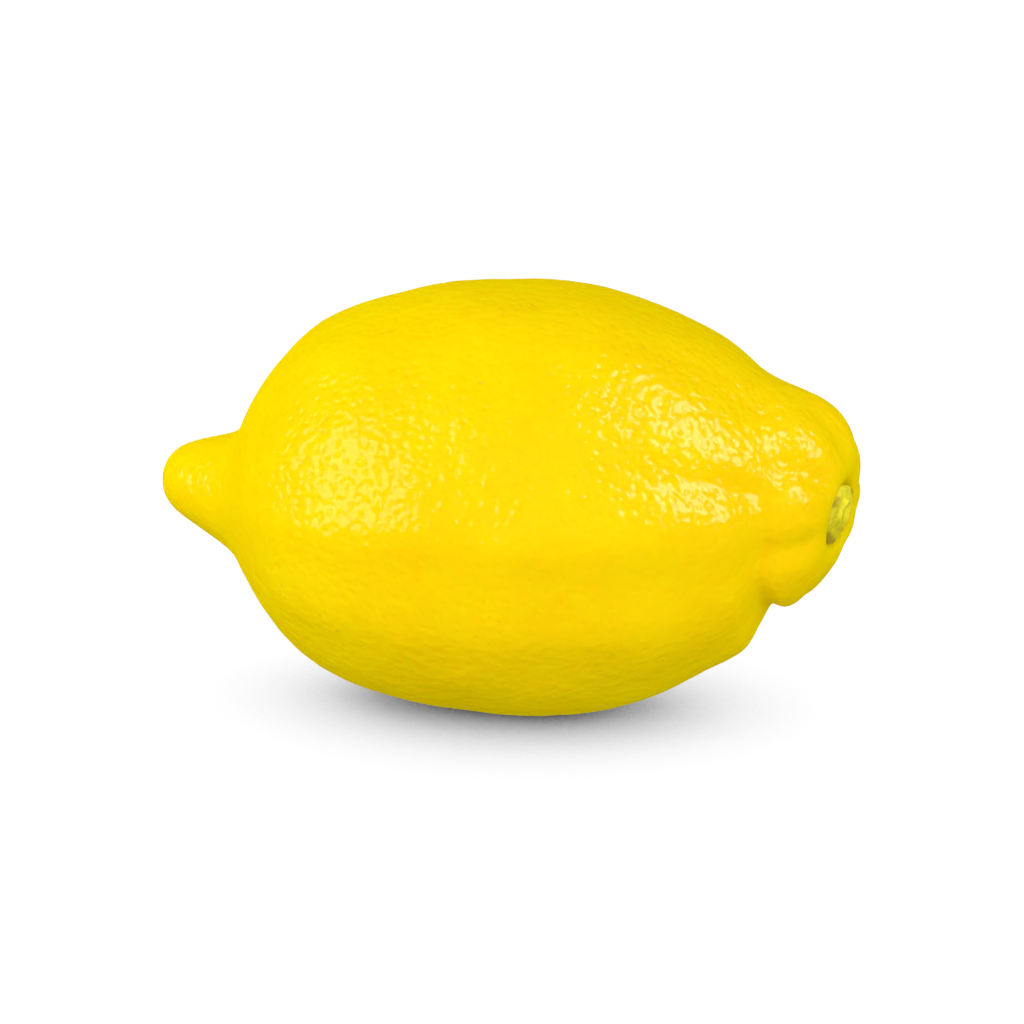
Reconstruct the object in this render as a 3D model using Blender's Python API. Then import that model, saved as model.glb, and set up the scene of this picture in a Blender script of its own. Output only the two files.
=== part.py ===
"""A whole lemon lying on its side, with the green button of its cut stem.

Metres, +Z up. The nipple points to -X and the stem end to +X. The lemon rests on the small flat spot
under its belly, at z = 0.
"""

import bpy
import numpy as np

MM = 0.001

# Lengthwise outline in mm: distance from the nipple's tip along the axis, then the radius on top, at the
# sides and underneath. These are the control points of smooth curves, from the tip to the floor of the
# dimple that holds the button.
OUTLINE = (
    (0.0, 0.0, 0.0, 0.0),
    (0.1, 2.4, 2.3, 2.1),
    (2.0, 5.0, 4.9, 4.5),
    (5.6, 6.3, 6.8, 6.2),
    (9.0, 7.3, 8.6, 8.0),
    (11.8, 8.4, 10.4, 9.7),
    (13.6, 12.5, 13.2, 13.0),
    (16.4, 18.0, 17.2, 17.8),
    (21.6, 23.8, 22.7, 22.6),
    (30.0, 27.4, 27.0, 26.8),
    (40.0, 29.7, 29.3, 29.5),
    (53.0, 30.8, 30.2, 30.4),
    (64.0, 29.5, 29.1, 29.6),
    (73.5, 26.1, 25.8, 26.4),
    (80.0, 23.0, 22.3, 22.2),
    (84.5, 19.4, 18.0, 20.3),
    (87.0, 17.8, 14.8, 15.6),
    (90.0, 16.3, 12.7, 12.0),
    (93.0, 13.9, 13.0, 14.4),
    (95.8, 10.5, 10.6, 10.3),
    (97.1, 6.7, 7.2, 7.1),
    (96.7, 4.7, 4.7, 4.7),
    (95.6, 4.5, 4.5, 4.5),
    (95.6, 3.0, 3.0, 3.0),
    (95.6, 0.0, 0.0, 0.0),
)

# Long soft ridges of the belly: angle round the axis in degrees, height in mm and width in degrees.
# 0 faces -Y, 90 is up, -90 is the side that it lies on.
RIDGES = (
    (2, 0.65, 7),
    (-26, 0.50, 8),
    (-68, 0.30, 9),
    (-112, 0.30, 9),
    (-150, 0.35, 9),
    (173, 0.35, 9),
    (132, 0.35, 9),
    (96, 0.30, 9),
    (57, 0.50, 9),
)
RIDGE_SPAN = (14.0, 30.0, 66.0, 84.0)  # they fade in and out between these distances

# Furrows of the shoulder, and those that part the lobes past it: angle in degrees, depth in mm and width
# in degrees.
SHOULDER_FURROWS = (
    (-15, 0.5, 12),
    (22, 1.1, 8),
    (63, 0.5, 11),
    (118, 0.6, 11),
    (156, 0.8, 11),
    (-168, 0.6, 11),
    (-130, 0.7, 12),
    (-92, 0.5, 12),
    (-54, 0.4, 12),
)
SHOULDER_SPAN = (58.0, 80.0, 85.0, 92.0)  # they come and go between these distances
LOBE_FURROWS = (
    (-13, 1.2, 12),
    (41, 1.4, 11),
    (83, 0.7, 12),
    (124, 0.6, 11),
    (156, 0.8, 11),
    (-168, 0.6, 11),
    (-130, 0.7, 12),
    (-92, 0.5, 12),
)
LOBE_START = (86.0, 92.0)  # they deepen between these distances
LOBE_END = (5.4, 11.0)  # and fade towards the dimple between these radii

# How the fruit's axis wanders, in mm.
NIPPLE_RAISE = 0.8
NIPPLE_RAISE_SPAN = (0.0, 15.0)
AXIS_SLOPE = 0.018  # how far it rises for each mm towards the stem end
AXIS_LEVEL_AT = 50.0
NECK_RAISE = 0.0
NECK_SIDE = -2.0
NECK_SPAN = (78.0, 93.0)

# Rings lean out of square: how far they run along X for each mm along Y and Z.
END_LEAN_Y = 0.21
END_LEAN_Z = 0.16
END_SPAN = (84.0, 93.0)

FLAT_DEPTH = 0.6  # how much of the round belly the flat spot takes off
RINGS = 60
SEGMENTS = 60

# Button: the calyx disc and the stub of the stem that it carries, as one small piece.
BUTTON_GAP = 0.3
BUTTON_RADIUS = 4.0
BUTTON_THICKNESS = 0.9
STUB_RADIUS = 1.8
STUB_HEIGHT = 0.7
BUTTON_LOBES = 5
BUTTON_LOBE_SHARE = 0.04
BUTTON_SEGMENTS = 40

# Half sections of the disc and of the stub, from the axis of the disc's back to the axis of the cut face:
# share of its thickness or height, and share of its radius.
DISC_SECTION = ((0.0, 0.0), (0.0, 0.5), (0.0, 0.86), (0.3, 0.98), (0.7, 1.0), (0.92, 0.9), (1.0, 0.7))
STUB_SECTION = ((0.2, 1.05), (0.8, 1.0), (1.0, 0.8), (0.7, 0.4), (0.65, 0.0))


def clear_scene():
    for obj in list(bpy.data.objects):
        bpy.data.objects.remove(obj, do_unlink=True)


def smooth_step(start, end, x):
    t = np.clip((x - start) / (end - start), 0.0, 1.0)
    return t * t * (3.0 - 2.0 * t)


def rise_and_fall(span, x):
    """0 before span[0], 1 from span[1] to span[2], and 0 again after span[3]."""
    return smooth_step(span[0], span[1], x) * (1.0 - smooth_step(span[2], span[3], x))


def angle_bells(lines, angle):
    """Sum of one bell for each line of (degrees, size, width), over the angle in degrees."""
    total = np.zeros_like(angle)
    for degrees, size, width in lines:
        apart = (angle - degrees + 180.0) % 360.0 - 180.0
        total += size * np.exp(-((apart / width) ** 2))
    return total


def smooth_columns(controls, samples_per_span=24):
    """A uniform cubic B-spline through rows of (distance, radius, ...), as dense rows.

    Its ends are mirrored in the axis, so that it leaves and meets the axis squarely.
    """
    rows = np.array(controls, float)
    mirror = np.ones(rows.shape[1])
    mirror[1:] = -1.0
    rows = np.vstack((rows[1] * mirror, rows, rows[-2] * mirror))
    t = np.linspace(0.0, 1.0, samples_per_span, endpoint=False)[:, None]
    weights = ((1 - t) ** 3, 3 * t**3 - 6 * t**2 + 4, -3 * t**3 + 3 * t**2 + 3 * t + 1, t**3)
    spans = [sum(w * rows[i + k] for k, w in enumerate(weights)) / 6.0 for i in range(len(rows) - 3)]
    end = (rows[-3] + 4.0 * rows[-2] + rows[-1]) / 6.0
    curves = np.vstack((*spans, end))
    curves[[0, -1], 1:] = 0.0
    return curves


def evenly_spaced(curves, count):
    """Those rows resampled at count places that are the same distance apart along the side's outline."""
    steps = np.hypot(*np.diff(curves[:, (0, 2)], axis=0).T)
    travelled = np.concatenate(([0.0], np.cumsum(steps)))
    wanted = np.linspace(0.0, travelled[-1], count)
    return np.column_stack([np.interp(wanted, travelled, column) for column in curves.T])


def lean_and_wander(along, radius, angle):
    """World position in mm of a point given by distance along the axis, radius and angle in degrees."""
    turn = np.radians(angle)
    side = -radius * np.cos(turn)
    up = radius * np.sin(turn)
    neck = smooth_step(*NECK_SPAN, along)
    end = smooth_step(*END_SPAN, along)
    x = along + end * (END_LEAN_Y * side + END_LEAN_Z * up)
    y = side + NECK_SIDE * neck
    raise_nipple = NIPPLE_RAISE * (1.0 - smooth_step(*NIPPLE_RAISE_SPAN, along))
    z = up + raise_nipple + AXIS_SLOPE * (along - AXIS_LEVEL_AT) + NECK_RAISE * neck
    return np.stack((x, y, z), axis=-1)


def fruit_grid():
    """Positions in mm on a grid of rings along the fruit and points round it."""
    rows = evenly_spaced(smooth_columns(OUTLINE), RINGS + 1)
    turns = (np.arange(SEGMENTS) + 0.5) * 360.0 / SEGMENTS
    along, angle = np.meshgrid(rows[:, 0], turns, indexing="ij")
    upright = np.sin(np.radians(angle))
    top, side, under = (rows[:, k : k + 1] for k in (1, 2, 3))
    radius = side + (np.where(upright > 0.0, top, under) - side) * upright**2

    run, rise = np.gradient(along, axis=0), np.gradient(radius, axis=0)
    slant = np.hypot(run, rise)
    height = angle_bells(RIDGES, angle) * rise_and_fall(RIDGE_SPAN, along)
    height -= angle_bells(SHOULDER_FURROWS, angle) * rise_and_fall(SHOULDER_SPAN, along)
    lobed = smooth_step(*LOBE_START, along) * smooth_step(*LOBE_END, radius)
    height -= angle_bells(LOBE_FURROWS, angle) * lobed
    along = along - height * rise / slant
    radius = radius + height * run / slant
    return lean_and_wander(along, radius, angle)


def button_grid(floor):
    """The button's surface in mm, as rings from the middle of its back to the middle of its cut face."""
    back = floor + BUTTON_GAP
    disc = np.array(DISC_SECTION) * (BUTTON_THICKNESS, BUTTON_RADIUS)
    stub = np.array(STUB_SECTION) * (STUB_HEIGHT, STUB_RADIUS) + (BUTTON_THICKNESS, 0.0)
    along, radius = np.vstack((disc, stub)).T
    angle = np.arange(BUTTON_SEGMENTS) * 360.0 / BUTTON_SEGMENTS
    along, turn = np.meshgrid(back + along, angle, indexing="ij")
    scallop = 1.0 + BUTTON_LOBE_SHARE * np.cos(np.radians(BUTTON_LOBES * turn))
    return lean_and_wander(along, radius[:, None] * scallop, turn)


def closed_mesh(name, grid):
    """A mesh of rings of points, with the first and the last ring shrunk to one point each."""
    rings, segments = grid.shape[:2]
    inner = grid[1:-1].reshape(-1, 3)
    vertices = np.vstack((grid[0].mean(axis=0), inner, grid[-1].mean(axis=0)))
    ring = np.arange(rings - 2)[:, None] * segments + 1
    here = np.arange(segments)
    after = (here + 1) % segments
    a, b = ring[:-1] + here, ring[:-1] + after
    c, d = ring[1:] + after, ring[1:] + here
    quads = np.stack((a, d, c, b), axis=-1).reshape(-1, 4)
    last = len(vertices) - 1
    start_fan = [(0, 1 + i, 1 + j) for i, j in zip(here, after)]
    end_fan = [(last, last - segments + j, last - segments + i) for i, j in zip(here, after)]
    mesh = bpy.data.meshes.new(name)
    mesh.from_pydata(vertices.tolist(), [], quads.tolist() + start_fan + end_fan)
    mesh.validate()
    mesh.update()
    return mesh


def make_material(name, colour, roughness):
    material = bpy.data.materials.new(name)
    material.use_nodes = True
    shader = material.node_tree.nodes["Principled BSDF"]
    shader.inputs["Base Color"].default_value = (*colour, 1.0)
    shader.inputs["Roughness"].default_value = roughness
    shader.inputs["Metallic"].default_value = 0.0
    return material


def add_object(name, mesh, material):
    mesh.materials.append(material)
    mesh.shade_smooth()
    obj = bpy.data.objects.new(name, mesh)
    bpy.context.scene.collection.objects.link(obj)
    return obj


def main():
    clear_scene()
    fruit = fruit_grid()
    button = button_grid(OUTLINE[-1][0])

    floor = fruit[..., 2].min() + FLAT_DEPTH
    fruit[..., 2] = np.maximum(fruit[..., 2], floor)
    low, high = fruit.min(axis=(0, 1)), fruit.max(axis=(0, 1))
    origin = np.array(((low[0] + high[0]) / 2.0, (low[1] + high[1]) / 2.0, floor))

    skin = make_material("lemon_skin", (1.0, 0.74, 0.01), 0.38)
    green = make_material("button_green", (0.42, 0.44, 0.06), 0.6)
    add_object("fruit", closed_mesh("fruit", (fruit - origin) * MM), skin)
    add_object("stem_button", closed_mesh("stem_button", (button - origin) * MM), green)


main()
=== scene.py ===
# A fresh lemon lying on its side: pitted peel, blunt nipple, lobed neck and the green button of its stem.
import math

import bpy
import numpy as np
from mathutils import Matrix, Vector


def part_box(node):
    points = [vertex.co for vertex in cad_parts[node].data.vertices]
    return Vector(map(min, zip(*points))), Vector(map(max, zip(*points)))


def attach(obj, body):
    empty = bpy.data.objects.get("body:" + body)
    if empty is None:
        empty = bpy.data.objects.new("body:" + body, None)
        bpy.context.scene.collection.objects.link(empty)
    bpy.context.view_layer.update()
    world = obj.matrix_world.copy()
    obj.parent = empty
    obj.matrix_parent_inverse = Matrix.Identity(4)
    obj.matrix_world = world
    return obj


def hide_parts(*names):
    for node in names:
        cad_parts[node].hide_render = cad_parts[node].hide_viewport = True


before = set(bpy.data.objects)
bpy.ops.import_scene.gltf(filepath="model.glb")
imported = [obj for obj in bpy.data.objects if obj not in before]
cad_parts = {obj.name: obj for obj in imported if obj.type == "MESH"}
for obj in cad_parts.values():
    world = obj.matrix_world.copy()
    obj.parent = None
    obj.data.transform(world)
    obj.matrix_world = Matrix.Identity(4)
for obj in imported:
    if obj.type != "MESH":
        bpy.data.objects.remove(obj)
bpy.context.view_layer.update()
print("frame loaded: nodes", sorted(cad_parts))

mm = 0.001

# Lengths in mm and angles in degrees. The outline's rows are the distance from the nipple's tip along the
# axis, then the radius on top, at the sides and underneath. Angle 0 faces -Y, and 90 is up. A ridge or a
# furrow is its angle, its height or depth and its width. Spans are where along the axis things come and go.
fruit = {
    "outline": (
        (0.0, 0.0, 0.0, 0.0), (0.1, 2.4, 2.3, 2.1), (2.0, 5.0, 4.9, 4.5),
        (5.6, 6.3, 6.8, 6.2), (9.0, 7.3, 8.6, 8.0), (11.8, 8.4, 10.4, 9.7),
        (13.6, 12.5, 13.2, 13.0), (16.4, 18.0, 17.2, 17.8), (21.6, 23.8, 22.7, 22.6),
        (30.0, 27.4, 27.0, 26.8), (40.0, 29.7, 29.3, 29.5), (53.0, 30.8, 30.2, 30.4),
        (64.0, 29.5, 29.1, 29.6), (73.5, 26.1, 25.8, 26.4), (80.0, 23.0, 22.3, 22.2),
        (84.5, 19.4, 18.0, 20.3), (87.0, 17.8, 14.8, 15.6), (90.0, 16.3, 12.7, 12.0),
        (93.0, 13.9, 13.0, 14.4), (95.8, 10.5, 10.6, 10.3), (97.1, 6.7, 7.2, 7.1),
        (96.7, 4.7, 4.7, 4.7), (95.6, 4.5, 4.5, 4.5), (95.6, 3.0, 3.0, 3.0),
        (95.6, 0.0, 0.0, 0.0),
    ),
    "ridges": (
        (2, 0.65, 7), (-26, 0.50, 8), (-68, 0.30, 9), (-112, 0.30, 9), (-150, 0.35, 9),
        (173, 0.35, 9), (132, 0.35, 9), (96, 0.30, 9), (57, 0.50, 9),
    ),
    "ridgeSpan": (14.0, 30.0, 66.0, 84.0),
    "shoulderFurrows": (
        (-15, 0.50, 12), (22, 1.10, 8), (63, 0.50, 11), (118, 0.60, 11), (156, 0.80, 11),
        (-168, 0.60, 11), (-130, 0.70, 12), (-92, 0.50, 12), (-54, 0.40, 12),
    ),
    "shoulderSpan": (58.0, 80.0, 85.0, 92.0),
    "lobeFurrows": (
        (-13, 1.20, 12), (41, 1.40, 11), (83, 0.70, 12), (124, 0.60, 11), (156, 0.80, 11),
        (-168, 0.60, 11), (-130, 0.70, 12), (-92, 0.50, 12),
    ),
    "lobeStart": (86.0, 92.0),
    "lobeEnd": (5.4, 11.0),
    "nippleRaise": 0.8,
    "nippleSpan": (0.0, 15.0),
    "axisSlope": 0.018,
    "levelAt": 50.0,
    "neckShift": (-2.0, 0.0),
    "neckSpan": (78.0, 93.0),
    "lean": (0.21, 0.16),
    "leanSpan": (84.0, 93.0),
    "cells": 128,
}


class Wire:
    # One output of a node tree. Arithmetic on it adds Math nodes; make() adds any other node.
    def __init__(self, tree, socket=None):
        self.tree = tree
        self.socket = socket

    def make(self, kind, settings=None, inputs=None, out=0):
        node = self.tree.nodes.new(kind)
        for name, value in (settings or {}).items():
            setattr(node, name, value)
        for name, value in (inputs or {}).items():
            if isinstance(value, Wire):
                self.tree.links.new(value.socket, node.inputs[name])
            else:
                node.inputs[name].default_value = value
        return Wire(self.tree, node.outputs[out])

    def math(self, operation, a, b=0.0):
        return self.make("ShaderNodeMath", {"operation": operation}, {0: a, 1: b})

    def __add__(self, other):
        return self.math("ADD", self, other)

    def __radd__(self, other):
        return self.math("ADD", other, self)

    def __sub__(self, other):
        return self.math("SUBTRACT", self, other)

    def __rsub__(self, other):
        return self.math("SUBTRACT", other, self)

    def __mul__(self, other):
        return self.math("MULTIPLY", self, other)

    # 0 below low, 1 above high, an S curve between
    def between(self, low, high):
        inputs = {"Value": self, "From Min": low, "From Max": high}
        return self.make("ShaderNodeMapRange", {"interpolation_type": "SMOOTHSTEP"}, inputs)

    # self is a place in space; size is the pattern's cell in metres
    def noise(self, size, detail=1.0, roughness=0.5):
        inputs = {"Vector": self, "Scale": 1.0 / size, "Detail": detail, "Roughness": roughness}
        return self.make("ShaderNodeTexNoise", {"noise_dimensions": "3D"}, inputs)

    def blend(self, first, second):
        settings = {"data_type": "RGBA", "clamp_factor": True}
        return self.make("ShaderNodeMix", settings, {0: self, 6: first, 7: second}, out=2)

    def length(self):
        return self.make("ShaderNodeVectorMath", {"operation": "LENGTH"}, {0: self}, out=1)

    def distanceTo(self, point):
        return self.make("ShaderNodeVectorMath", {"operation": "DISTANCE"}, {0: self, 1: point}, out=1)

    # self is a height in metres
    def bump(self, strength=1.0):
        return self.make("ShaderNodeBump", None, {"Strength": strength, "Distance": 1.0, "Height": self})


def smoothStep(start, end, x):
    t = np.clip((x - start) / (end - start), 0.0, 1.0)
    return t * t * (3.0 - 2.0 * t)


# 0 before the span, 1 in its middle part, and 0 again after it.
def riseAndFall(span, x):
    return smoothStep(span[0], span[1], x) * (1.0 - smoothStep(span[2], span[3], x))


# Sum of one bell for each line of angle, size and width, over the angle round the axis.
def angleBells(lines, angle):
    total = np.zeros_like(angle)
    for degrees, size, width in lines:
        apart = (angle - degrees + 180.0) % 360.0 - 180.0
        total += size * np.exp(-((apart / width) ** 2))
    return total


# A uniform cubic B-spline through rows of (distance, radius, ...), mirrored in the axis at its ends.
def smoothColumns(controls, samples=90):
    rows = np.array(controls, float)
    mirror = np.where(np.arange(rows.shape[1]), -1.0, 1.0)
    rows = np.vstack((rows[1] * mirror, rows, rows[-2] * mirror))
    t = np.linspace(0.0, 1.0, samples, endpoint=False)[:, None]
    weights = ((1 - t) ** 3, 3 * t**3 - 6 * t**2 + 4, -3 * t**3 + 3 * t**2 + 3 * t + 1, t**3)
    spans = [sum(w * rows[i + k] for k, w in enumerate(weights)) / 6.0 for i in range(len(rows) - 3)]
    end = (rows[-3] + 4.0 * rows[-2] + rows[-1]) / 6.0
    curves = np.vstack((*spans, end))
    curves[[0, -1], 1:] = 0.0
    return curves


# The outline's columns, the slope of each, and two measures at each of their rows: the distance travelled
# along the side's outline, and the share of the skin's area that lies before it.
def measuredOutline():
    curves = smoothColumns(fruit["outline"])
    steps = np.hypot(*np.diff(curves[:, (0, 2)], axis=0).T)
    travelled = np.concatenate(([0.0], np.cumsum(steps)))
    area = np.concatenate(([0.0], np.cumsum(steps * (curves[1:, 2] + curves[:-1, 2]))))
    return curves, np.gradient(curves, travelled, axis=0), travelled, area / area[-1]


curves, slopes, travelled, areaShare = measuredOutline()


# Place in mm of points given by distance along the axis, radius and angle: the axis rises and bends a
# little, and near the stem the rings lean.
def leanAndWander(along, radius, angle):
    turn = np.radians(angle)
    side = -radius * np.cos(turn)
    up = radius * np.sin(turn)
    lean = smoothStep(*fruit["leanSpan"], along)
    neck = smoothStep(*fruit["neckSpan"], along)
    nipple = 1.0 - smoothStep(*fruit["nippleSpan"], along)
    x = along + lean * (fruit["lean"][0] * side + fruit["lean"][1] * up)
    y = side + fruit["neckShift"][0] * neck
    z = up + fruit["nippleRaise"] * nipple + fruit["axisSlope"] * (along - fruit["levelAt"])
    return np.stack((x, y, z + fruit["neckShift"][1] * neck), axis=-1)


# The fruit's smooth surface in mm, for the distance travelled along the outline and the angle. The radius
# goes from the side's to the top's or the underside's with the squared sine of the angle. Ridges and
# furrows then move the point along the outline's normal.
def fruitSurface(place, angle):
    along, top, side, under = (np.interp(place, travelled, column) for column in curves.T)
    run, topRise, sideRise, underRise = (np.interp(place, travelled, column) for column in slopes.T)
    upright = np.sin(np.radians(angle))
    radius = side + (np.where(upright > 0.0, top, under) - side) * upright**2
    rise = sideRise + (np.where(upright > 0.0, topRise, underRise) - sideRise) * upright**2
    slant = np.hypot(run, rise)
    height = angleBells(fruit["ridges"], angle) * riseAndFall(fruit["ridgeSpan"], along)
    height -= angleBells(fruit["shoulderFurrows"], angle) * riseAndFall(fruit["shoulderSpan"], along)
    lobed = smoothStep(*fruit["lobeStart"], along) * smoothStep(*fruit["lobeEnd"], radius)
    height -= angleBells(fruit["lobeFurrows"], angle) * lobed
    return leanAndWander(along - height * rise / slant, radius + height * run / slant, angle)


# Six square grids folded onto a sphere: unit directions, and quads that share the points of the seams.
def cubeSphere(cells):
    side = np.tan(np.linspace(-1.0, 1.0, cells + 1) * math.pi / 4.0)
    u, v = np.meshgrid(side, side, indexing="ij")
    one = np.ones_like(u)
    sheets = ((one, u, v), (-one, v, u), (v, one, u), (u, -one, v), (u, v, one), (v, u, -one))
    points = np.concatenate([np.stack(sheet, axis=-1).reshape(-1, 3) for sheet in sheets])
    index = np.arange((cells + 1) ** 2).reshape(cells + 1, cells + 1)
    corners = (index[:-1, :-1], index[1:, :-1], index[1:, 1:], index[:-1, 1:])
    quads = np.stack(corners, axis=-1).reshape(-1, 4)
    quads = np.concatenate([quads + k * index.size for k in range(6)])
    first, inverse = np.unique(np.round(points, 6), axis=0, return_index=True, return_inverse=True)[1:]
    points = points[first]
    points /= np.linalg.norm(points, axis=1)[:, None]
    return points, inverse.reshape(-1)[quads]


stemMiddle = leanAndWander(fruit["outline"][-1][0], 0.0, 0.0)

# Lengths in mm. Lumps, pebbles, wrinkles, ripples and grain are the size of the pattern and its height.
peel = {
    "seed": 7,
    "pitSpacing": 1.75,
    "pitJitter": 0.36,  # share of the spacing
    "pitEnd": 2.0,  # no pits this near the stem's middle
    "pitRadius": (0.30, 0.46),
    "pitDepth": (0.025, 0.06),
    "dimpleReach": 1.1,
    "dimpleDepth": (0.015, 0.05),
    "lump": (11.0, 0.42),
    "pebble": (3.4, 0.055),
    "wrinkle": ((1.9, 3.4, 3.4), 0.025),
    "nippleShare": 0.35,  # of the relief's height, as neckShare is
    "nippleFade": (7.0, 20.0),
    "neckShare": 0.7,
    "neckFade": (58.0, 84.0),
    "stemFade": (4.6, 8.5),
    "orange": (0.84, 0.56, 0.0, 1.0),
    "lemon": (0.84, 0.60, 0.0, 1.0),
    # painted shade: each pit's hollow is tinted a little darker and more orange
    "deep": (0.80, 0.50, 0.0, 1.0),
    "pitShadeShare": 0.1,
    "stemSide": (0.72, 0.59, 0.0, 1.0),
    "freckle": (0.60, 0.33, 0.05, 1.0),
    "roughness": 0.14,
    "film": 0.03,  # share of the light that the wax sends back
    "rindShare": 0.42,  # share of the bump that the rind shows
    "wobble": 0.6,
    "pitWall": 1.6,
    "ripple": (1.6, 0.4),
    "grain": (0.25, 0.006),
    "hollow": (2.1, 0.065),  # reach in pit radii, and depth
    "cloud": 14.0,
    "freckles": (0.9, 12.0, 0.4),  # size of a speck and of a crowd of them, and strength
    "greenReach": (4.0, 9.0, 0.5),  # where the green by the stem starts to fade and ends, and strength
    "glow": (1.0, 0.55, 0.05),  # how far red, green and blue light travel, as shares of sinkDepth
    "sinkShare": 0.8,
    "sinkDepth": 1.2,
}


# How strong the peel's texture is at each point: little on the nipple, full on the belly, less on the neck
# and none by the button.
def textureShare(points):
    nipple, neck = peel["nippleShare"], peel["neckShare"]
    share = nipple + (1.0 - nipple) * smoothStep(*peel["nippleFade"], points[:, 0])
    share += (neck - 1.0) * smoothStep(*peel["neckFade"], points[:, 0])
    return share * smoothStep(*peel["stemFade"], np.linalg.norm(points - stemMiddle, axis=1))


# Smooth noise of about -1 to 1: at each point the eight nearest corners of a lattice of random slopes each
# give slope times offset, weighted by an S curve of the offset.
def slopeNoise(points, size, seed, gain=1.6):
    spots = points / np.array(size) + 0.5
    cell = np.floor(spots).astype(int)
    offset = spots - cell
    cell -= cell.min(axis=0)
    random = np.random.default_rng(seed)
    slope = random.normal(size=(*(cell.max(axis=0) + 2), 3))
    slope /= np.linalg.norm(slope, axis=-1)[..., None]
    ease = offset**3 * (offset * (offset * 6.0 - 15.0) + 10.0)
    total = np.zeros(len(points))
    for corner in np.ndindex(2, 2, 2):
        near = np.where(corner, ease, 1.0 - ease).prod(axis=1)
        at = cell + corner
        total += near * (slope[at[:, 0], at[:, 1], at[:, 2]] * (offset - corner)).sum(axis=1)
    return total * gain


# Pits on rings round the fruit, one spacing apart both ways, each ring turned and each pit moved at random.
def scatterPits():
    random = np.random.default_rng(peel["seed"])
    spacing = peel["pitSpacing"]
    places, angles = [], []
    for ring in np.arange(0.5 * spacing, travelled[-1] - peel["pitEnd"], spacing):
        radius = np.interp(ring, travelled, curves[:, 2])
        count = max(1, round(2.0 * math.pi * radius / spacing))
        shift = random.uniform(-1.0, 1.0, (2, count)) * peel["pitJitter"]
        places.append(ring + shift[0] * spacing)
        angles.append((np.arange(count) + random.random() + shift[1]) * 360.0 / count)
    places, angles = np.concatenate(places), np.concatenate(angles)
    centres = fruitSurface(places, angles)
    size = random.random((3, len(centres)))
    share = textureShare(centres)
    radius = np.interp(size[0], (0, 1), peel["pitRadius"])
    depth = np.interp(size[1], (0, 1), peel["pitDepth"]) * share
    dimple = np.interp(size[2], (0, 1), peel["dimpleDepth"]) * share
    return centres, radius, depth, dimple


# The nearest centre to each point, looked for in slices across X.
def nearestCentre(points, centres, reach=2.5, slices=90):
    order = np.argsort(centres[:, 0])
    inOrder = centres[order]
    nearest = np.zeros(len(points), int)
    edges = np.linspace(points[:, 0].min(), points[:, 0].max() + 1e-6, slices + 1)
    for low, high in zip(edges[:-1], edges[1:]):
        here = np.flatnonzero((points[:, 0] >= low) & (points[:, 0] < high))
        first, last = np.searchsorted(inOrder[:, 0], (low - reach, high + reach))
        near = inOrder[first:last]
        apart = (near**2).sum(axis=1) - 2.0 * points[here] @ near.T
        nearest[here] = order[first + apart.argmin(axis=1)]
    return nearest


# What turns mm along the fruit into metres in the frame: the fruit's own box against the CAD node's. The
# height comes from the tops, because a flat spot cuts the node's underside.
def placement(points):
    low, high = (np.array(corner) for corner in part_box("fruit"))
    ownLow, ownHigh = points.min(axis=0), points.max(axis=0)
    scale = (high[0] - low[0]) / (ownHigh[0] - ownLow[0])
    offset = (low + high) / 2.0 - scale * (ownLow + ownHigh) / 2.0
    offset[2] = high[2] - scale * ownHigh[2]
    return scale, offset


# Rings of points joined into one closed surface, its first and last ring shrunk to a point each.
def closedRings(grid):
    rings, segments = grid.shape[:2]
    points = np.vstack((grid[0].mean(axis=0), grid[1:-1].reshape(-1, 3), grid[-1].mean(axis=0)))
    here = 1 + np.arange((rings - 2) * segments).reshape(-1, segments)
    after = np.roll(here, -1, axis=1)
    sides = np.stack((here[:-1], here[1:], after[1:], after[:-1]), axis=-1).reshape(-1, 4)
    start = np.column_stack((np.zeros_like(here[0]), here[0], after[0]))
    end = np.column_stack((np.full_like(here[0], len(points) - 1), after[-1], here[-1]))
    return points, sides.tolist() + start.tolist() + end.tolist()


def addPiece(name, points, faces, material, node):
    mesh = bpy.data.meshes.new(name)
    mesh.from_pydata(points.tolist(), [], faces)
    mesh.shade_smooth()
    mesh.materials.append(material)
    piece = bpy.data.objects.new(name, mesh)
    bpy.context.scene.collection.objects.link(piece)
    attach(piece, "root")
    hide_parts(node)
    return piece


def newMaterial(name):
    material = bpy.data.materials.new(name)
    material.use_nodes = True
    material.node_tree.nodes.clear()
    return material, Wire(material.node_tree)


def principled(start, constants, links):
    shader = start.make("ShaderNodeBsdfPrincipled", None, links)
    for name, value in constants.items():
        shader.socket.node.inputs[name].default_value = value
    return shader


def finishMaterial(material, shader):
    output = material.node_tree.nodes.new("ShaderNodeOutputMaterial")
    material.node_tree.links.new(shader.socket, output.inputs[0])
    return material


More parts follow.
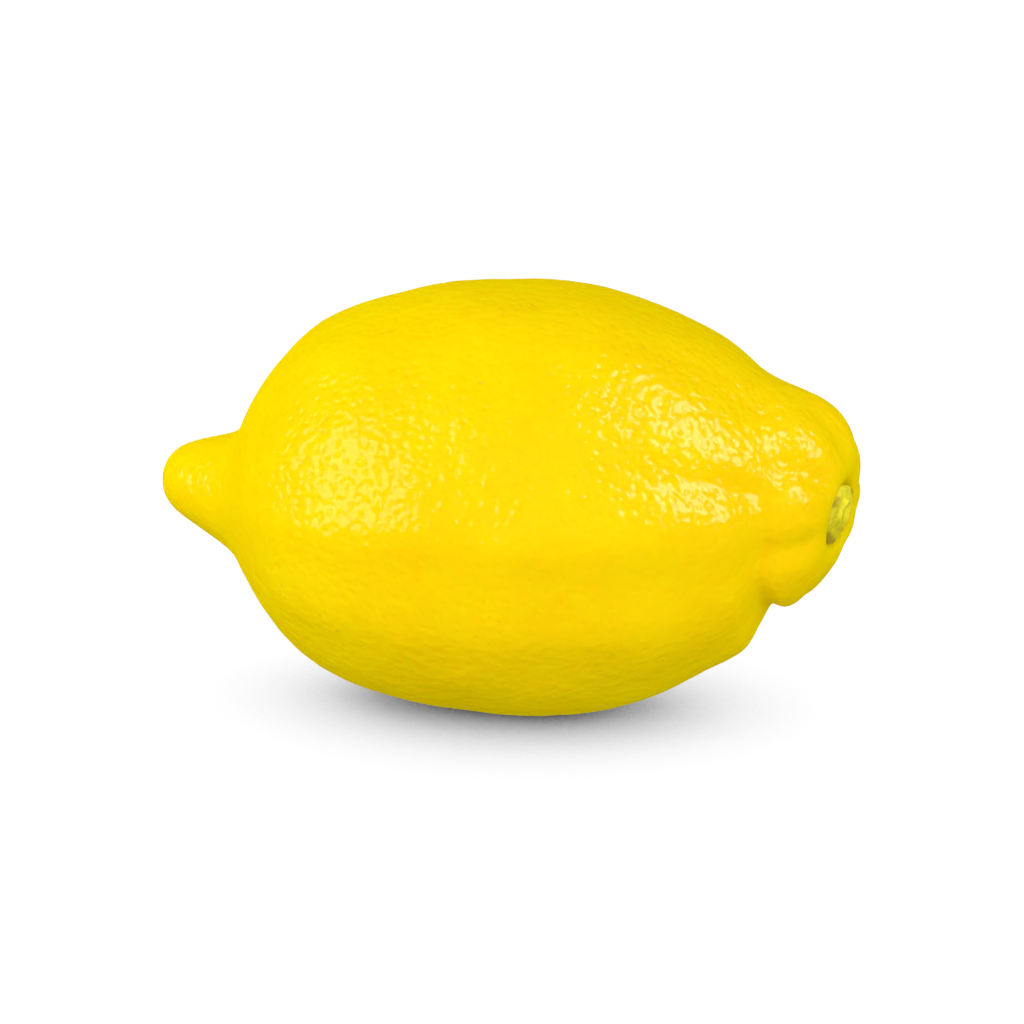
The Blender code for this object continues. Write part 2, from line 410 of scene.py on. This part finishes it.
# Yellow rind that light sinks into, under a thin film of wax. The film follows every ripple and pit, and
# the light that comes out of the rind blurs most of them.
def waxyPeel(stemPlace):
    material, start = newMaterial("waxyPeel")
    position = start.make("ShaderNodeTexCoord", out=3)
    fromPit = start.make("ShaderNodeAttribute", {"attribute_name": "fromPit"}, out=1)
    depth = start.make("ShaderNodeAttribute", {"attribute_name": "pitDepth"}, out=2)
    wobble = position.noise(peel["wobble"] * mm) - 0.5
    distance = fromPit.length()
    pit = (1.0 - distance - wobble * 0.5).between(0.0, peel["pitWall"]) * peel["pitWall"]
    hollow = 1.0 - distance.between(0.0, peel["hollow"][0])
    ripple = (position.noise(peel["ripple"][0] * mm) - 0.5) * peel["ripple"][1]
    grain = (position.noise(peel["grain"][0] * mm, 2.0) - 0.5) * peel["grain"][1]
    height = (ripple + grain - pit * depth - hollow * peel["hollow"][1]) * mm

    cloud = position.noise(peel["cloud"] * mm, 4.0, 0.6).between(0.3, 0.7)
    colour = cloud.blend(peel["orange"], peel["lemon"])
    # painted shade in each pit's hollow: the colour turns darker orange there
    colour = (pit * peel["pitShadeShare"]).blend(colour, peel["deep"])
    speckSize, crowdSize, speckShare = peel["freckles"]
    speck = position.noise(speckSize * mm).between(0.69, 0.77)
    crowd = position.noise(crowdSize * mm).between(0.56, 0.64)
    colour = (speck * crowd * speckShare).blend(colour, peel["freckle"])
    near, far, greenShare = peel["greenReach"]
    toStem = position.distanceTo(stemPlace) + wobble * (2.0 * mm)
    green = 1.0 - toStem.between(near * mm, far * mm)
    colour = (green * greenShare).blend(colour, peel["stemSide"])
    roughness = peel["roughness"] + position.noise(5.0 * mm, 2.0) * 0.06
    rindConstants = {
        "Specular IOR Level": 0.0,
        "Subsurface Weight": peel["sinkShare"],
        "Subsurface Radius": peel["glow"],
        "Subsurface Scale": peel["sinkDepth"] * mm,
    }
    rindLinks = {"Base Color": colour, "Roughness": roughness, "Normal": height.bump(peel["rindShare"])}
    filmConstants = {"Base Color": (1.0, 1.0, 1.0, 1.0), "Metallic": 1.0}
    filmLinks = {"Roughness": roughness, "Normal": height.bump()}
    rind = principled(start, rindConstants, rindLinks)
    film = principled(start, filmConstants, filmLinks)
    waxed = start.make("ShaderNodeMixShader", None, {0: peel["film"], 1: rind, 2: film})
    return finishMaterial(material, waxed)


# The skin: the smooth surface, moved along its normal by lumps, pebbles and wrinkles of noise and by a
# shallow dimple round each pit. fromPit holds each corner's way from the nearest pit, in pit radii.
def buildFruit():
    directions, quads = cubeSphere(fruit["cells"])
    place = np.interp((1.0 + directions[:, 0]) / 2.0, areaShare, travelled)
    angle = np.degrees(np.arctan2(directions[:, 2], -directions[:, 1]))
    points = fruitSurface(place, angle)
    scale, offset = placement(points)

    across = np.cross(points[quads[:, 2]] - points[quads[:, 0]], points[quads[:, 3]] - points[quads[:, 1]])
    normals = np.zeros_like(points)
    for corner in range(4):
        np.add.at(normals, quads[:, corner], across)
    normals /= np.linalg.norm(normals, axis=1)[:, None]

    centres, pitRadius, pitDepth, dimple = scatterPits()
    nearest = nearestCentre(points, centres)
    fromPit = np.linalg.norm(points - centres[nearest], axis=1)
    share = textureShare(points)
    relief = share * peel["lump"][1] * slopeNoise(points, peel["lump"][0], 1)
    relief += share * peel["pebble"][1] * slopeNoise(points, peel["pebble"][0], 2)
    relief += share * peel["wrinkle"][1] * slopeNoise(points, peel["wrinkle"][0], 3)
    relief -= dimple[nearest] * (1.0 - smoothStep(0.0, peel["dimpleReach"], fromPit))

    faceNearest = nearestCentre(points[quads].mean(axis=1), centres)
    cornerFromPit = (points[quads] - centres[faceNearest][:, None]) / pitRadius[faceNearest][:, None, None]
    points = (points + relief[:, None] * normals) * scale + offset
    points[:, 2] = np.maximum(points[:, 2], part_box("fruit")[0][2])  # the flat spot
    piece = addPiece("peel", points, quads.tolist(), waxyPeel(tuple(stemMiddle * scale + offset)), "fruit")
    way = piece.data.attributes.new("fromPit", "FLOAT_VECTOR", "CORNER")
    way.data.foreach_set("vector", cornerFromPit.ravel())
    deep = piece.data.attributes.new("pitDepth", "FLOAT", "FACE")
    deep.data.foreach_set("value", pitDepth[faceNearest])
    print("peel:", len(quads), "quads,", len(centres), "pits")
    return scale, offset


# Half section of the button in mm: height above its back and radius, to the middle of the stem's scar
button = {
    "gap": 0.3,
    "section": ((0.0, 0.0), (0.0, 2.0), (0.0, 3.7), (0.2, 4.2), (0.6, 4.1), (0.95, 3.7), (0.95, 2.8),
                (1.0, 2.1), (1.6, 2.0), (1.7, 1.5), (1.2, 0.9), (1.1, 0.0)),
    "waves": ((5, 0.055, 0.0), (2, 0.02, 40.0), (9, 0.012, 70.0)),
    "rings": 90,
    "segments": 180,
    "front": (0.5, 1.0),
    "grooves": (26, 0.03),
    "grooveSpan": (1.0, 3.0),
    "lump": (1.6, 0.18),
    "lime": (0.84, 0.73, 0.012, 1.0),
    "olive": (0.66, 0.58, 0.004, 1.0),
    "brown": (0.26, 0.13, 0.01, 1.0),
    "brownEdge": (3.1, 3.8),
    "brownShare": 0.6,
}


# Lime green with olive towards its lower, nearer side, which is partly the calyx's own tone and partly
# painted shade, and brown in patches round its rim.
def calyxGreen(middle):
    material, start = newMaterial("calyxGreen")
    position = start.make("ShaderNodeTexCoord", out=3)
    settings = {"operation": "SUBTRACT"}
    fromMiddle = start.make("ShaderNodeVectorMath", settings, {0: position, 1: middle})
    settings = {"operation": "DOT_PRODUCT"}
    upAndBack = start.make("ShaderNodeVectorMath", settings, {0: fromMiddle, 1: (0.0, 0.6, 0.8)}, out=1)
    patch = position.noise(1.4 * mm, 3.0, 0.6)
    # painted shade in part: the green goes olive towards the lower, nearer side and lime towards the upper,
    # far side
    lime = (upAndBack * (1.0 / (6.0 * mm)) + patch).between(0.25, 0.75)
    colour = lime.blend(button["olive"], button["lime"])
    edgeStart, edgeEnd = button["brownEdge"]
    edge = (fromMiddle.length() + (patch - 0.5) * mm).between(edgeStart * mm, edgeEnd * mm)
    # brown in noise patches along a band round the button's rim
    rimBrown = position.noise(2.2 * mm, 2.0).between(0.48, 0.6) * edge
    colour = (rimBrown * button["brownShare"]).blend(colour, button["brown"])
    height = patch * (0.15 * mm) + position.noise(0.35 * mm, 2.0) * (0.03 * mm)
    constants = {
        "Roughness": 0.5,
        "Specular IOR Level": 0.2,
        "Subsurface Weight": 0.3,
        "Subsurface Radius": peel["glow"],
        "Subsurface Scale": 0.8 * mm,
    }
    links = {"Base Color": colour, "Normal": height.bump()}
    return finishMaterial(material, principled(start, constants, links))


# Rings from the middle of the back to the scar: the section's radius times one plus cosine waves, with
# shallow grooves that run outwards and lumps of noise on the front.
def buildButton(scale, offset):
    section = smoothColumns(button["section"], 40)
    steps = np.hypot(*np.diff(section, axis=0).T)
    run = np.concatenate(([0.0], np.cumsum(steps)))
    wanted = np.linspace(0.0, run[-1], button["rings"])
    height, radius = (np.interp(wanted, run, column) for column in section.T)
    angle = np.arange(button["segments"]) * 360.0 / button["segments"]
    height, angle = np.meshgrid(height, angle, indexing="ij")
    wave = np.ones_like(angle)
    for count, size, shift in button["waves"]:
        wave += size * np.cos(np.radians(count * angle + shift))
    front = smoothStep(*button["front"], height)
    count, depth = button["grooves"]
    spread = np.broadcast_to(radius[:, None], height.shape) * wave
    grooved = depth * np.cos(np.radians(count * angle)) * smoothStep(*button["grooveSpan"], spread)
    points = leanAndWander(fruit["outline"][-1][0] + button["gap"] + height, spread, angle)
    lumps = button["lump"][1] * slopeNoise(points.reshape(-1, 3), button["lump"][0], 5).reshape(height.shape)
    points[..., 0] += front * (lumps - grooved)
    points, faces = closedRings(points * scale + offset)
    piece = addPiece("button", points, faces, calyxGreen(tuple(points.mean(axis=0))), "stem_button")
    print("button:", len(faces), "faces")


# The lights' rows are name, azimuth, elevation, width and height in metres, brightness, and whether it is
# there for the shine on the peel or for the even light on it.
studio = {
    "azimuth": 12.0,
    "elevation": 15.0,
    "lens": 135.0,
    "sensor": 36.0,
    "frameWidth": 0.14262,  # metres across the picture at the fruit's middle
    "look": (1.05 * mm, 0.1 * mm, -0.46 * mm),  # from the fruit's middle to what the camera follows
    "drop": 2.16 * mm,  # and how far down the picture from there it aims
    "world": 0.48,
    "lights": (
        ("frontFill", 10.0, 22.0, 0.8, 0.6, 3.75, False),
        ("topFill", 192.0, 80.0, 1.0, 1.0, 0.13, False),
        ("leftFill", -65.0, 20.0, 0.6, 0.6, 2.3, False),
        ("rightFill", 85.0, 3.0, 0.6, 0.6, 1.5, False),
        ("backFill", 195.0, -4.0, 1.2, 0.6, 3.3, False),
        ("leftShine", -50.0, 19.0, 0.46, 0.42, 2.4, True),
        ("rightShine", 70.0, 33.0, 0.34, 0.66, 5.4, True),
    ),
    "lightDistance": 0.8,
    "floorReach": 4.0,
    "shadowReach": 0.09,
    "shadowPower": 3.4,
    "shadowSpan": (0.3, 1.0),  # where the shadow's reach ends, so that the walls' feet stay white
    "shadowColour": (0.03, 0.03, 0.03, 1.0),
}


def direction(azimuth, elevation):
    a, e = math.radians(azimuth), math.radians(elevation)
    return np.array((math.sin(a) * math.cos(e), -math.cos(a) * math.cos(e), math.sin(e)))


def aim(thing, place, target):
    away = (place - target) / np.linalg.norm(place - target)
    across = np.cross((0.0, 0.0, 1.0), away)
    across /= np.linalg.norm(across)
    thing.location = place
    thing.rotation_euler = Matrix(np.column_stack((across, np.cross(away, across), away)).tolist()).to_euler()


def addCamera(middle):
    data = bpy.data.cameras.new("camera")
    data.lens = studio["lens"]
    data.sensor_width = studio["sensor"]
    data.clip_start = 0.01
    camera = bpy.data.objects.new("camera", data)
    bpy.context.scene.collection.objects.link(camera)
    bpy.context.scene.camera = camera
    toward = direction(studio["azimuth"], studio["elevation"])
    across = np.cross((0.0, 0.0, 1.0), toward)
    across /= np.linalg.norm(across)
    target = middle - np.cross(toward, across) * studio["drop"]
    distance = studio["frameWidth"] * data.lens / data.sensor_width
    aim(camera, target + toward * distance, target)


def addSoftbox(name, azimuth, elevation, width, height, radiance, shines, middle):
    data = bpy.data.lights.new(name, "AREA")
    data.shape = "RECTANGLE"
    data.size = width
    data.size_y = height
    data.energy = radiance * width * height * math.pi
    box = bpy.data.objects.new(name, data)
    bpy.context.scene.collection.objects.link(box)
    aim(box, middle + direction(azimuth, elevation) * studio["lightDistance"], middle)
    box.visible_camera = False
    box.visible_diffuse = not shines
    box.visible_glossy = shines


# A square of floor with upright walls round it, so that no edge of it shows. It glows white, and darkens
# where something near shuts it in.
def addFloor():
    floor = bpy.data.meshes.new("floor")
    reach = studio["floorReach"]
    ground = [(-reach, -reach, 0.0), (reach, -reach, 0.0), (reach, reach, 0.0), (-reach, reach, 0.0)]
    wallTop = [(x, y, reach) for x, y, z in ground]
    walls = [(0, 4, 5, 1), (1, 5, 6, 2), (2, 6, 7, 3), (3, 7, 4, 0)]
    floor.from_pydata(ground + wallTop, [], [(0, 1, 2, 3)] + walls)
    material, start = newMaterial("whiteFloor")
    position = start.make("ShaderNodeTexCoord", out=3)
    inputs = {"Distance": studio["shadowReach"]}
    openness = start.make("ShaderNodeAmbientOcclusion", {"samples": 6}, inputs, out=1)
    shadow = start.math("POWER", 1.0 - openness, studio["shadowPower"])
    shadow = shadow * (1.0 - position.length().between(*studio["shadowSpan"]))
    glow = shadow.blend((1.0, 1.0, 1.0, 1.0), studio["shadowColour"])
    constants = {"Base Color": (0.0, 0.0, 0.0, 1.0), "Specular IOR Level": 0.0, "Emission Strength": 1.04}
    finishMaterial(material, principled(start, constants, {"Emission Color": glow}))
    floor.materials.append(material)
    piece = bpy.data.objects.new("floor", floor)
    bpy.context.scene.collection.objects.link(piece)
    piece.visible_diffuse = False
    piece.visible_glossy = False


def lightStudio(middle):
    world = bpy.data.worlds.new("studioWhite")
    bpy.context.scene.world = world
    world.use_nodes = True
    back = world.node_tree.nodes["Background"]
    back.inputs[0].default_value = (1.0, 1.0, 1.0, 1.0)
    back.inputs[1].default_value = studio["world"]
    world.cycles_visibility.glossy = False
    for light in studio["lights"]:
        addSoftbox(*light, middle)
    bpy.context.scene.view_settings.view_transform = "Standard"
    bpy.context.scene.view_settings.look = "None"


scale, offset = buildFruit()
buildButton(scale, offset)
low, high = (np.array(corner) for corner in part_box("fruit"))
middle = (low + high) / 2.0
addFloor()
lightStudio(middle)
addCamera(middle + np.array(studio["look"]))
print("studio ready")
